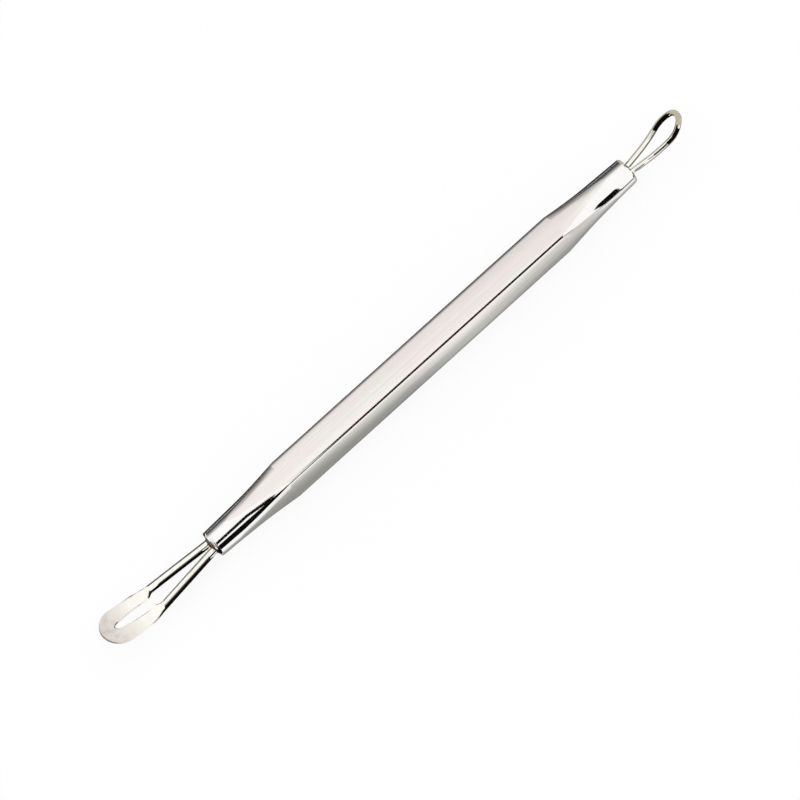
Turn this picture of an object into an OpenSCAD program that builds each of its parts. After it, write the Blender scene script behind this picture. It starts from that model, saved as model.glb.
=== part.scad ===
// Two-ended skin tool: a square bar with turned ends, a slotted flat loop at one end
// and a fine round-wire loop at the other. The bar rests on its lower flat, with the
// flat that faces up as its wide face, and the fine loop points along +X.
// All lengths are in millimetres and all angles in degrees.

/* [Handle] */
// Size of the square bar across its flats
bar_across = 5; // [4.6:0.1:6.5]
// Rounding of the four long edges
bar_edge_r = 0.25; // [0.1:0.05:0.6]
// Length of the handle, end face to end face
handle_len = 87; // [70:1:120]
// Diameter of each turned end at its end face
end_d = 4.7; // [4.2:0.1:5]
// Length of the slightly conical stretch behind each end face
end_cone_len = 6.7; // [4:0.1:12]
// Angle between that cone and the axis
end_cone_angle = 2.1; // [0.5:0.1:3]
// Radius of the hollow curve that runs from the cone out onto the bar's edges
cove_r = 71; // [40:1:120]
// Chamfer that breaks the sharp rim of each end face
rim_chamfer = 0.12; // [0.05:0.01:0.3]

/* [Loop seats] */
// Depth of the drilled hole in each end, without its conical bottom
bore_depth = 7; // [4:0.5:10]
// Included angle of the drill point at the bottom of each hole
drill_point_angle = 118; // [90:1:140]
// Clearance between two pieces that fit into each other, measured on the radius
fit_gap = 0.02; // [0.01:0.005:0.04]
// Wall of filler metal between a leg and the side of its hole
filler_wall = 0.12; // [0.08:0.01:0.2]
// Height of the filler metal's bead above the end face
bead_height = 0.35; // [0.2:0.05:0.6]
// Width of the bead's lip round the mouth of the hole
bead_lip = 0.2; // [0.1:0.05:0.3]
// Radius of the bend where a leg leaves the bead
root_bend_r = 4; // [2:0.5:8]

/* [Flat loop] */
// Diameter of the wire that the flat loop is made from
flat_wire_d = 1.35; // [1.1:0.05:1.45]
// Space between the two legs where they enter the handle
flat_root_gap = 0.25; // [0.15:0.05:0.4]
// Straight part of each round leg, from the root bend to where the flattening starts
flat_leg_len = 10.8; // [8:0.2:16]
// Length over which the round wire spreads to its flat width on the slot's side
flat_flare_len = 1; // [0.8:0.1:2.5]
// Length over which it spreads on the outer side, which runs on more gently
flat_shoulder_len = 3.4; // [1:0.2:6]
// Width of the flattened wire
flat_band_w = 2.5; // [2:0.05:3]
// Width of the slot between the two flattened arms
flat_slot_w = 1.65; // [1.4:0.05:2.4]
// Radius of the bend where the legs turn parallel
flat_arm_bend_r = 4.4; // [2:0.2:8]
// Length of the parallel arms, up to where the round nose starts
flat_arm_len = 5.6; // [3:0.2:8]
// Extra width of the band beside its nose, which draws the slot in to a narrow tip
flat_swell = 0.3; // [0:0.05:0.4]
// Angle by which the legs lean down from the handle's axis
flat_dip_angle = 1.8; // [0.2:0.2:4]
// Angle by which the spoon rises from the handle's axis
flat_rise_angle = 14.8; // [5:0.2:30]
// Radius of the bend between the legs and the spoon
flat_rise_r = 5; // [3:0.5:12]

/* [Fine loop] */
// Diameter of the wire that the fine loop is made from
fine_wire_d = 0.95; // [0.7:0.05:1.1]
// Space between the two legs where they enter the handle
fine_root_gap = 0.4; // [0.3:0.05:0.6]
// Straight part of each leg, from the root bend to the loop's side curve
fine_leg_len = 7; // [5:0.2:9]
// Width over the loop at its widest
fine_loop_w = 4.5; // [4:0.1:5.4]
// Radius of the loop's side curves, on the middle of the wire
fine_side_r = 5; // [3.6:0.1:8]
// Radius of the loop's nose, on the middle of the wire
fine_nose_r = 1.2; // [0.8:0.05:1.4]
// Angle by which the legs rise from the handle's axis
fine_root_angle = 3; // [0.5:0.5:8]
// Distance from the end face to where the loop starts to curl up
fine_curl_start = 3.4; // [2:0.1:6]
// Angle that the loop's tip has reached at the end of the curl
fine_tip_angle = 36; // [15:1:50]

/* [Hidden] */
$fn = 64;
// Faces round a wire, and faces of the full circle that the hollow curve is part of
WIRE_SIDES = 16;
COVE_FACES = 720;
// Overrun that lets one shape cut cleanly through another
EPS = 0.01;
// How far the hollow curve bites into the cone beside it, so that they meet on one clean edge
COVE_BITE = 0.002;

axis_z = bar_across / 2;
// Distance from the axis to the bar's rounded edges
bar_reach = (bar_across / 2 - bar_edge_r) * sqrt(2) + bar_edge_r;
blank_r = bar_reach + 1;
// Radius of the turned end where its cone runs into the hollow curve
cone_top_r = end_d / 2 + end_cone_len * tan(end_cone_angle);

// The legs end flush with the filler metal, stay straight through its bead, and then bend
leg_in_bore = bore_depth - fit_gap;
leg_straight = leg_in_bore + bead_height + fit_gap;
flat_leg_gap = flat_wire_d + flat_root_gap;
fine_leg_gap = fine_wire_d + fine_root_gap;
flat_bore_d = bore_size(flat_wire_d, flat_leg_gap);
fine_bore_d = bore_size(fine_wire_d, fine_leg_gap);

// Half the distance between the middles of the flat loop's arms
flat_half = (flat_slot_w + flat_band_w) / 2;
flat_spread = spread_angle(
    flat_half - flat_leg_gap / 2, root_bend_r + flat_arm_bend_r, flat_leg_len + flat_flare_len);
// Half the width of the fine loop, on the middle of the wire
fine_half = (fine_loop_w - fine_wire_d) / 2;
fine_spread = spread_angle(fine_half - fine_leg_gap / 2, root_bend_r + fine_side_r, fine_leg_len);
// Heading, towards the middle, at which the side curve hands over to the nose
fine_handover = acos((fine_side_r - fine_half) / (fine_side_r - fine_nose_r));

function bore_size(wire_d, leg_gap) = leg_gap + wire_d + 4 * fit_gap + 2 * filler_wall;

// Angle at which a leg leans outwards to gain the offset over two opposite bends, whose
// radii add up to bend_sum, and the straight length between them
function spread_angle(offset, bend_sum, straight) =
    asin((offset - bend_sum) / norm([bend_sum, straight])) + atan2(bend_sum, straight);

function arc_length(radius, angle) = radius * angle * PI / 180;
function arc_radius(length, angle) = length / (angle * PI / 180);
function smooth(x) = let (k = min(1, max(0, x))) k * k * (3 - 2 * k);
function reversed(list) = [for (i = [len(list) - 1 : -1 : 0]) list[i]];
function path_length(path, i = 0) = i == len(path) ? 0 : path[i][0] + path_length(path, i + 1);

// A path is a list of stretches [length, turn to the left, steps], and a place on it is
// [x, y, heading, length so far]. This is the place reached by one stretch.
function go(from, length, turn) =
    let (heading = from[2] + turn, so_far = from[3] + length)
    turn == 0
        ? [from[0] + length * cos(heading), from[1] + length * sin(heading), heading, so_far]
        : let (r = arc_radius(length, turn))
          [from[0] + r * (sin(heading) - sin(from[2])),
           from[1] - r * (cos(heading) - cos(from[2])), heading, so_far];

// All places along a path, one for each step of each stretch
function walk(path, from, i = 0) =
    i == len(path) ? [from] :
    let (length = path[i][0], turn = path[i][1], steps = path[i][2])
    concat(
        [for (k = [0 : steps - 1]) go(from, length * k / steps, turn * k / steps)],
        walk(path, go(from, length, turn), i + 1));

// The place at a distance along a path, whose last stretch runs on as far as it is asked
function place_at(path, distance, from, i = 0) =
    let (length = path[i][0], turn = path[i][1])
    i == len(path) - 1 || distance < length
        ? go(from, distance, turn * distance / length)
        : place_at(path, distance - length, go(from, length, turn), i + 1);

// Thickness of a round wire hammered out to a width, with its section area kept and its
// edges left half round
function hammered(width, wire_d) =
    let (spare = 1 - PI / 4)
    (width - sqrt(pow(width, 2) - spare * PI * pow(wire_d, 2))) / (2 * spare);

// Seen from above, each loop starts at the inner end of one leg and goes to the tip. The
// other half is the same path backwards, because the loop turns the same way all along.
flat_leg_path = [
    [leg_straight, 0, 1],
    [arc_length(root_bend_r, flat_spread), flat_spread, 4],
    [flat_leg_len, 0, 3],
    [flat_flare_len, 0, 8],
    [arc_length(flat_arm_bend_r, flat_spread), -flat_spread, 3]
];
flat_half_path = concat(flat_leg_path, [
    [flat_arm_len, 0, 9],
    [arc_length(flat_half, 90), -90, 12]
]);
fine_half_path = [
    [leg_straight, 0, 1],
    [arc_length(root_bend_r, fine_spread), fine_spread, 4],
    [fine_leg_len, 0, 8],
    [arc_length(fine_side_r, fine_spread + fine_handover), -fine_spread - fine_handover, 12],
    [arc_length(fine_nose_r, 90 - fine_handover), fine_handover - 90, 8]
];

// Distance from the end face to the tip of the fine loop, before it is curled
fine_reach = last_place(fine_half_path, fine_leg_gap)[0];
// Distance from the inner end of a leg to where its wire runs parallel again in the flat loop
flat_arms_from = last_place(flat_leg_path, flat_leg_gap)[0] + leg_in_bore;

// Seen from the side, each loop's sheet follows one of these paths
flat_rise_path = [
    [leg_straight, 0],
    [arc_length(root_bend_r, flat_dip_angle), -flat_dip_angle],
    [flat_arms_from - leg_straight - arc_length(root_bend_r, flat_dip_angle), 0],
    [arc_length(flat_rise_r, flat_dip_angle + flat_rise_angle), flat_dip_angle + flat_rise_angle],
    [flat_arm_len, 0]
];
fine_rise_path = [
    [leg_straight, 0],
    [arc_length(root_bend_r, fine_root_angle), fine_root_angle],
    [fine_curl_start + leg_in_bore - leg_straight - arc_length(root_bend_r, fine_root_angle), 0],
    [fine_reach - fine_curl_start, fine_tip_angle - fine_root_angle]
];

function leg_start(leg_gap) = [-leg_in_bore, leg_gap / 2, 0, 0];
function last_place(path, leg_gap) = let (all = walk(path, leg_start(leg_gap))) all[len(all) - 1];

// One ring of points round a wire at a place on its path, from inner to outer across the
// sheet. The section is a flat bar with half-round edges, or a circle where it is as thick
// as it is wide, and its faces touch the true curve from outside, so that it is full size.
// Every point is laid on the sheet that follows rise_path.
function ring(place, inner, outer, thickness, rise_path) =
    [for (k = [0 : WIRE_SIDES - 1])
        let (a = (k + 0.5) * 360 / WIRE_SIDES,
             edge = cos(a) > 0 ? outer - thickness / 2 : thickness / 2 - inner,
             reach = thickness / 2 / cos(180 / WIRE_SIDES),
             across = edge + reach * cos(a),
             up = reach * sin(a),
             along = place[0] - across * sin(place[2]) + leg_in_bore,
             on = place_at(rise_path, along, [-leg_in_bore, 0, 0, 0]))
        [on[0] - up * sin(on[2]), place[1] + across * cos(place[2]), on[1] + up * cos(on[2])]];

// Skin over a row of rings, closed by a flat cap at each end
module skin(rings) {
    n = WIRE_SIDES;
    last = (len(rings) - 1) * n;
    polyhedron(
        points = [for (r = rings) each r],
        faces = concat(
            [[for (k = [0 : n - 1]) k]],
            [[for (k = [n - 1 : -1 : 0]) last + k]],
            [for (i = [0 : len(rings) - 2], k = [0 : n - 1])
                let (a = i * n + k, b = i * n + (k + 1) % n)
                each [[a, a + n, b], [b, a + n, b + n]]]));
}

// Places a piece at an end of the handle, with +X pointing out of the end face
module at_flat_end() translate([-handle_len / 2, 0, axis_z]) rotate([0, 0, 180]) children();
module at_fine_end() translate([handle_len / 2, 0, axis_z]) children();

// Turns a shape that stands along Z so that it lies along X
module along_x() rotate([0, 90, 0]) children();

// Section of the bar: a square with rounded corners
module bar_section() {
    inner = bar_across - 2 * bar_edge_r;
    square([bar_across, inner], center = true);
    square([inner, bar_across], center = true);
    for (x = [-1, 1], y = [-1, 1])
        translate([x * inner / 2, y * inner / 2]) circle(r = bar_edge_r);
}

// What the lathe takes off one end, in radius and distance from the end face: the rim's
// chamfer and the cone in one cut, and the hollow curve that takes over from the cone
module lathe_cut() {
    end_r = end_d / 2;
    polygon([
        [end_r - rim_chamfer - EPS, -EPS],
        [end_r + rim_chamfer * tan(end_cone_angle), rim_chamfer],
        [cone_top_r, end_cone_len],
        [blank_r + EPS, end_cone_len],
        [blank_r + EPS, -EPS]
    ]);
    translate([cone_top_r, end_cone_len]) rotate(-end_cone_angle) translate([cove_r - COVE_BITE, 0])
        circle(r = cove_r, $fn = COVE_FACES);
}

module turned_blank() {
    along_x() rotate_extrude() difference() {
        translate([0, -handle_len / 2]) square([blank_r, handle_len]);
        translate([0, -handle_len / 2]) lathe_cut();
        translate([0, handle_len / 2]) mirror([0, 1]) lathe_cut();
    }
}

// Drilled hole that the legs of a loop sit in
module bore(d) {
    translate([-bore_depth, 0, 0]) along_x() {
        cylinder(d = d, h = bore_depth + EPS);
        mirror([0, 0, 1]) cylinder(d1 = d, d2 = 0, h = d / 2 / tan(drill_point_angle / 2));
    }
}

module handle() {
    color("silver") difference() {
        intersection() {
            translate([-handle_len / 2, 0, axis_z]) along_x()
                linear_extrude(handle_len) bar_section();
            translate([0, 0, axis_z]) turned_blank();
        }
        at_flat_end() bore(flat_bore_d);
        at_fine_end() bore(fine_bore_d);
    }
}

// Half the width of the flat loop's wire at a distance past the end of its round part
function spread_half(past, spread_len) =
    (flat_wire_d + (flat_band_w - flat_wire_d) * smooth(past / spread_len)) / 2;

// A soft rise and fall from 0 over 1 to 0, with its top past the middle
function hump(x) = pow(sin(180 * pow(x, 2)), 2);

// Wire bent double and hammered flat at its nose into a slotted spoon
module flat_loop() {
    path = concat(flat_half_path, reversed(flat_half_path));
    half = path_length(flat_half_path);
    arms_from = path_length(flat_leg_path);
    flare_from = arms_from - arc_length(flat_arm_bend_r, flat_spread) - flat_flare_len;
    color("gainsboro") at_flat_end()
        skin([for (p = walk(path, leg_start(flat_leg_gap)))
            let (far = min(p[3], 2 * half - p[3]),
                 swell = flat_swell * hump(max(0, (far - arms_from) / (half - arms_from))),
                 outer = spread_half(far - flare_from, flat_shoulder_len),
                 inner = spread_half(far - flare_from, flat_flare_len) + swell)
            ring(p, inner, outer, hammered(inner + outer, flat_wire_d), flat_rise_path)]);
}

// Fine wire bent into a pear-shaped loop and curled up at its tip
module fine_loop() {
    path = concat(fine_half_path, reversed(fine_half_path));
    r = fine_wire_d / 2;
    color("lightgray") at_fine_end()
        skin([for (p = walk(path, leg_start(fine_leg_gap)))
            ring(p, r, r, fine_wire_d, fine_rise_path)]);
}

// Filler metal that fills a bore round two legs and stands out of it as a low bead
module filler(wire_d, leg_gap, bore_d) {
    bead_r = bore_d / 2 + bead_lip;
    dome_r = (pow(bead_r, 2) + pow(bead_height, 2)) / (2 * bead_height);
    difference() {
        along_x() rotate_extrude() {
            translate([0, -leg_in_bore]) square([bore_d / 2 - fit_gap, leg_in_bore]);
            intersection() {
                square([bead_r + EPS, bead_height + EPS]);
                translate([0, bead_height - dome_r]) circle(r = dome_r);
            }
        }
        for (side = [-1, 1])
            translate([-leg_in_bore - EPS, side * leg_gap / 2, 0]) along_x()
                cylinder(d = wire_d + 2 * fit_gap, h = leg_straight + 2 * EPS);
    }
}

module flat_loop_filler() {
    color("peru") at_flat_end() filler(flat_wire_d, flat_leg_gap, flat_bore_d);
}

module fine_loop_filler() {
    color("peru") at_fine_end() filler(fine_wire_d, fine_leg_gap, fine_bore_d);
}

handle();
flat_loop();
fine_loop();
flat_loop_filler();
fine_loop_filler();
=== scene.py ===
# %% [markdown]
# A two-ended skin tool, one piece of metal at a time.
#
# The real tool is a square steel bar, turned round at both ends. A hole is drilled in each end
# face, and a wire loop is brazed into it: one loop is hammered flat into a slotted spoon, the
# other is fine round wire. This lesson gives each of these pieces a mesh that is finer than the
# construction model, a metal finish made of shader nodes, and a small photo studio around them.
# Metal has hardly any colour of its own, so half of the lesson is about what it reflects.

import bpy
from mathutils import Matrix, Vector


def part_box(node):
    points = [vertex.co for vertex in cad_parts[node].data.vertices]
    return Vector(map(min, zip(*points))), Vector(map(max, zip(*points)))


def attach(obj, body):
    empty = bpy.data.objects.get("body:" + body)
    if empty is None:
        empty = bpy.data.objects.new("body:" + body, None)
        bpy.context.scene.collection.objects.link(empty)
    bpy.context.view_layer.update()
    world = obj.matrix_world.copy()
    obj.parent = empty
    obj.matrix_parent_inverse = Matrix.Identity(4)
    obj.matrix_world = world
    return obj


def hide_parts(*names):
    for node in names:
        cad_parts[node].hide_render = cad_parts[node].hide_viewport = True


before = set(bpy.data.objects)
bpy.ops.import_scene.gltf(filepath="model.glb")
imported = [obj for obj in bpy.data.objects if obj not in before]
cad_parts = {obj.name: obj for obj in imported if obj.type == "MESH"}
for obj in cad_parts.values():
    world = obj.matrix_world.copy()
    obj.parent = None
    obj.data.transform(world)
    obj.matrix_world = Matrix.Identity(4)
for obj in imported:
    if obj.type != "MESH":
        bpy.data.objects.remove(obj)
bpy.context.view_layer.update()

# %% [markdown]
# Blender counts in metres here, but a tool this small is easier to think about in millimetres.
# So every size below is in millimetres, and one factor turns it into metres when a mesh is made.
# The two sizes that everything else hangs on, the length of the bar and its width across the
# flats, are measured on the construction model. The bar lies on the floor along X, with its axis
# half a bar above it.

# %% Units, and the sizes of the bar
import math

import bmesh
import bpy
from mathutils import Matrix, Vector, noise

MM = 0.001
bar_low, bar_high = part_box("handle")
HANDLE_LEN = round((bar_high.x - bar_low.x) / MM, 3)
BAR_ACROSS = round((bar_high.y - bar_low.y) / MM, 3)
BAR_EDGE_R = 0.25
AXIS_Z = BAR_ACROSS / 2
print("bar:", BAR_ACROSS, "mm across its flats and", HANDLE_LEN, "mm long")

# %% [markdown]
# The camera comes first, because everything after it is judged in its picture. The photo was
# taken from above with a long lens: the bar runs up to the right because the camera is rolled,
# not because the bar is. So the camera is placed by three turns about the middle of the handle,
# a swing to the left, a tilt away from straight down, and the roll, and then slid sideways a
# little, so that the tool sits in the picture where the photo has it.

# %% The camera
CAMERA_DISTANCE = 456.5
CAMERA_SWING = math.radians(6.84)
CAMERA_TILT = math.radians(30.28)
CAMERA_ROLL = math.radians(42.13)
SLIDE_RIGHT = -3.44
SLIDE_UP = -6.78
PICTURE_PX = 800
FOCAL_PX = 2959.6
SENSOR_WIDTH = 36.0
NEAREST_SEEN = 0.01


def camera_axes():
    """Right, up and backward directions of the camera."""
    back = Vector((
        -math.sin(CAMERA_SWING),
        -math.cos(CAMERA_SWING) * math.sin(CAMERA_TILT),
        math.cos(CAMERA_SWING) * math.cos(CAMERA_TILT),
    ))
    along = (Vector((1, 0, 0)) - back.x * back).normalized()
    across = back.cross(along)
    right = math.cos(CAMERA_ROLL) * along - math.sin(CAMERA_ROLL) * across
    up = math.sin(CAMERA_ROLL) * along + math.cos(CAMERA_ROLL) * across
    return right, up, back


def make_camera():
    right, up, back = camera_axes()
    place = Vector((0, 0, AXIS_Z)) + CAMERA_DISTANCE * back + SLIDE_RIGHT * right + SLIDE_UP * up
    data = bpy.data.cameras.new("camera")
    data.sensor_width = SENSOR_WIDTH
    data.lens = FOCAL_PX / PICTURE_PX * SENSOR_WIDTH
    data.clip_start = NEAREST_SEEN
    camera = bpy.data.objects.new("camera", data)
    turn = Matrix((right, up, back)).transposed()
    camera.matrix_world = Matrix.Translation(place * MM) @ turn.to_4x4()
    bpy.context.scene.collection.objects.link(camera)
    bpy.context.scene.camera = camera
    return camera


camera = make_camera()
print("camera: a", round(camera.data.lens), "mm lens at", tuple(round(x, 3) for x in camera.location))

# %% [markdown]
# Now the meshes. Each of them is a row of rings: closed lines of points with the same number of
# points, one behind the other, skinned with four-sided faces. A lathe, a bent wire and a square
# bar can all be made this way, and the faces run along the piece as the grain of the metal does.
# A mesh made of rings can also carry exact normals. Reflections show every facet, so where the
# true direction of a surface is known from its formula, it is written into the mesh.

# %% Skin over a row of rings
def skin_faces(ring_count, ring_size):
    """Faces between rings whose points lie one ring after the other, and over both ends."""
    faces = []
    for i in range(ring_count - 1):
        for k in range(ring_size):
            a = i * ring_size + k
            b = i * ring_size + (k + 1) % ring_size
            faces.append((a, b, b + ring_size, a + ring_size))
    last = (ring_count - 1) * ring_size
    faces.append(tuple(range(ring_size - 1, -1, -1)))
    faces.append(tuple(range(last, last + ring_size)))
    return faces


def add_mesh(name, points, faces, rounded=True):
    """A mesh object from points in millimetres; rounded faces are shaded smooth."""
    mesh = bpy.data.meshes.new(name)
    mesh.from_pydata([Vector(p) * MM for p in points], [], faces)
    mesh.polygons.foreach_set("use_smooth", [rounded] * len(mesh.polygons))
    mesh.update()
    thing = bpy.data.objects.new(name, mesh)
    bpy.context.scene.collection.objects.link(thing)
    return thing


print("two rings of four points make a box of", len(skin_faces(2, 4)), "faces")

# %% [markdown]
# The handle is a square bar put in a lathe. The tool first takes a slight cone off each end and
# then runs out of the steel along a hollow curve, so each flat of the bar ends in a long tongue
# and each corner fades into the round. A boolean could cut it, but it would leave long thin faces,
# and steel shows each of them. So the lathe's path is written as a formula, radius against depth,
# and every ring of the handle is worked out from it.

# %% The lathe's path
END_D = 4.7
END_CONE_LEN = 6.7
END_CONE_ANGLE = math.radians(2.1)
COVE_R = 71.0
RIM_CHAMFER = 0.12
HALF = BAR_ACROSS / 2
CORNER = HALF - BAR_EDGE_R
BAR_REACH = CORNER * math.sqrt(2) + BAR_EDGE_R
CORNER_START_R = math.hypot(HALF, CORNER)
CONE_TOP_R = END_D / 2 + END_CONE_LEN * math.tan(END_CONE_ANGLE)
COVE_MIDDLE_R = CONE_TOP_R + COVE_R * math.cos(END_CONE_ANGLE)
COVE_MIDDLE_X = END_CONE_LEN - COVE_R * math.sin(END_CONE_ANGLE)


def rim_slope():
    return 1 + math.tan(END_CONE_ANGLE)


def lathe_radius(depth):
    """Radius that the lathe leaves at a depth behind the end face."""
    if depth < RIM_CHAMFER:
        rim = END_D / 2 + RIM_CHAMFER * math.tan(END_CONE_ANGLE)
        return rim - (RIM_CHAMFER - depth) * rim_slope()
    if depth < END_CONE_LEN:
        return END_D / 2 + depth * math.tan(END_CONE_ANGLE)
    return COVE_MIDDLE_R - math.sqrt(COVE_R**2 - (depth - COVE_MIDDLE_X)**2)


def lathe_slope(depth):
    """How fast that radius grows with the depth."""
    if depth < RIM_CHAMFER:
        return rim_slope()
    if depth < END_CONE_LEN:
        return math.tan(END_CONE_ANGLE)
    return (depth - COVE_MIDDLE_X) / math.sqrt(COVE_R**2 - (depth - COVE_MIDDLE_X)**2)


def cove_depth(radius):
    """Depth at which the hollow curve has a radius."""
    return COVE_MIDDLE_X + math.sqrt(COVE_R**2 - (COVE_MIDDLE_R - radius)**2)


shoulder_depth = cove_depth(BAR_REACH)
tongue_depth = (HALF - END_D / 2) / math.tan(END_CONE_ANGLE)
print("the flats start", round(tongue_depth, 2), "mm behind the end faces, and the corners are whole after",
      round(shoulder_depth, 2), "mm")

# %% [markdown]
# Cut across the bar, a quarter of a section has up to five lines: half a flat, a piece of the
# rounded corner, an arc that the lathe has left, the corner again, and half of the next flat. Every
# ring holds all of them, with the same number of points each, so that rings can be skinned. Where
# the lathe has eaten a flat or a corner, its points fall together, and the empty faces are deleted
# at the end.

# %% One section of the handle
FLAT_PLACES = [0, 0.45, 0.8, 0.86, 0.91, 0.96]
FLAT_STEPS = len(FLAT_PLACES)
CORNER_STEPS = 4
LATHE_STEPS = 20
SEGMENT_KINDS = (["flat"] * FLAT_STEPS + ["corner"] * CORNER_STEPS + ["lathe"] * LATHE_STEPS
                 + ["corner"] * CORNER_STEPS + ["flat"] * FLAT_STEPS)


def quarter_section(radius):
    """Points of a quarter of the section, from the middle of one flat to the middle of the next."""
    width = min(CORNER, math.sqrt(max(radius**2 - HALF**2, 0)))
    reach = min(HALF, radius)
    if radius >= BAR_REACH:
        corner_turn = math.pi / 4
    elif radius <= CORNER_START_R:
        corner_turn = 0
    else:
        cosine = (radius**2 - 2 * CORNER**2 - BAR_EDGE_R**2) / (2 * CORNER * BAR_EDGE_R * math.sqrt(2))
        corner_turn = math.pi / 4 - math.acos(cosine)
    half = [(reach, width * share) for share in FLAT_PLACES]
    for i in range(CORNER_STEPS):
        turn = corner_turn * i / CORNER_STEPS
        if radius > CORNER_START_R:
            half.append((CORNER + BAR_EDGE_R * math.cos(turn), CORNER + BAR_EDGE_R * math.sin(turn)))
        else:
            half.append((reach, width))
    if radius > CORNER_START_R:
        start = (CORNER + BAR_EDGE_R * math.cos(corner_turn), CORNER + BAR_EDGE_R * math.sin(corner_turn))
    else:
        start = (reach, width)
    first = math.atan2(start[1], start[0])
    arc_r = min(radius, BAR_REACH)
    arc = []
    for i in range(LATHE_STEPS + 1):
        angle = first + (math.pi / 2 - 2 * first) * i / LATHE_STEPS
        arc.append((arc_r * math.cos(angle), arc_r * math.sin(angle)))
    return half + arc + [(q, p) for p, q in reversed(half[1:])]


def whole_section(radius):
    """The four quarters, as points in Y and Z about the axis. The first point is on the flat at +Y."""
    points = []
    for quarter in range(4):
        c = round(math.cos(quarter * math.pi / 2))
        s = round(math.sin(quarter * math.pi / 2))
        points += [(p * c - q * s, p * s + q * c) for p, q in quarter_section(radius)]
    return points


print("points round the handle:", len(whole_section(BAR_REACH)))

# %% [markdown]
# The bar was rubbed bright after it was drawn, and rubbing wears a flat most along its edges. So
# each flat leans over in the last half millimetre before its rounded corner, the upper and lower
# flats are very slightly crowned, and the crease between a tongue and the turned surface is soft on
# both sides. It is all far too little to measure, but steel shows it at once: it is what draws a
# bright line beside every dark edge. Small bevels would need many faces, so only the normals carry
# it, and the mesh stays truly flat.

# %% Worn edges
EDGE_ROLL = math.radians(17)
CROWN = math.radians(2.5)
ROLL_WIDTH = 0.45
CREASE_WIDTH = 0.8
CREASE_TURN = math.radians(16)
TINY = 1e-6


def smooth(x):
    k = min(1.0, max(0.0, x))
    return k * k * (3 - 2 * k)


def flat_width(depth):
    """Half the width of a flat at a depth behind the end face; the flat ends in a tongue there."""
    return min(CORNER, math.sqrt(max(lathe_radius(depth)**2 - HALF**2, 0)))


def crease_lean(depth):
    """Angle by which flat and turned surface both lean where they meet."""
    return min(EDGE_ROLL, math.atan2(flat_width(depth), HALF) / 2)


def edge_roll(from_middle, depth, crown=0.0):
    """Angle by which a flat leans towards its edge, at a distance from its middle line."""
    width = flat_width(depth)
    reach = min(ROLL_WIDTH, width) if width == CORNER else min(CREASE_WIDTH, width)
    bulge = crown * min(1, abs(from_middle) / CORNER)
    share = smooth((abs(from_middle) - (width - reach)) / max(reach, TINY))
    return bulge + (crease_lean(depth) - bulge) * share


def turned_direction(angle, depth):
    """Angle that the turned surface faces, near the flats drawn towards them, and how turned it is."""
    quarter = math.pi / 2
    nearest = quarter * round(angle / quarter)
    off = angle - nearest
    crease = math.atan2(flat_width(depth), HALF)
    zone = max(min(CREASE_TURN, quarter / 2 - crease), TINY)
    share = smooth((abs(off) - crease) / zone)
    drawn = math.copysign((crease - crease_lean(depth)) * (1 - share), off)
    return angle - drawn, share


print("a flat leans", round(math.degrees(EDGE_ROLL)), "degrees at its edge, and half as much",
      round(CORNER - ROLL_WIDTH / 2, 2), "mm off its middle")

# %% [markdown]
# The section is taken at places that matter: both sides of the chamfer, the tip of each tongue,
# the end of the cone, and where the rounded corners begin and end. Between them the places are
# close together on the curved ends and far apart on the straight bar. Behind each end face the
# same ring goes on into the drilled hole, down to the cone that the drill leaves. Nobody sees
# that, but a solid with a real hole stays a solid when it is cut, weighed or printed.

# %% Rings of the handle
BORE_DEPTH = 7.0
DRILL_POINT = math.radians(118 / 2)
BORE_TIP_R = 0.02
FACE_STEPS = 3
RING_STEPS = [1, 10, 8, 24, 10, 14]


def handle_depths():
    """Depths behind an end face at which the handle is cut, up to the middle of the bar."""
    stops = [0, RIM_CHAMFER, tongue_depth, END_CONE_LEN, cove_depth(CORNER_START_R), shoulder_depth,
             HANDLE_LEN / 2]
    depths = [0.0]
    for low, high, count in zip(stops, stops[1:], RING_STEPS):
        depths += [low + (high - low) * (i + 1) / count for i in range(count)]
    return depths


def bore_rings(bore_r, face_x, inward):
    """Rings that close one end: over the end face, down the drilled hole and to its tip."""
    rim = whole_section(lathe_radius(0))
    angles = [math.atan2(z, y) for y, z in rim]
    for i in range(1, FACE_STEPS):
        share = i / FACE_STEPS
        yield [(face_x, y + (bore_r * math.cos(a) - y) * share, z + (bore_r * math.sin(a) - z) * share)
               for (y, z), a in zip(rim, angles)]
    tip_depth = BORE_DEPTH + (bore_r - BORE_TIP_R) / math.tan(DRILL_POINT)
    for r, depth in [(bore_r, 0), (bore_r, BORE_DEPTH), (BORE_TIP_R, tip_depth)]:
        yield [(face_x + inward * depth, r * math.cos(a), r * math.sin(a)) for a in angles]


print("the handle is cut at", 2 * len(handle_depths()) - 1, "places along its length")

# %% [markdown]
# Blender can work out the way a surface faces from the faces round each point, but where long thin
# faces meet that is only a guess. Here the true direction is known everywhere: the slope of the
# lathe's path on the turned ends, the lean of the worn edges on the flats, and an even turn round
# each corner in between.

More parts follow.
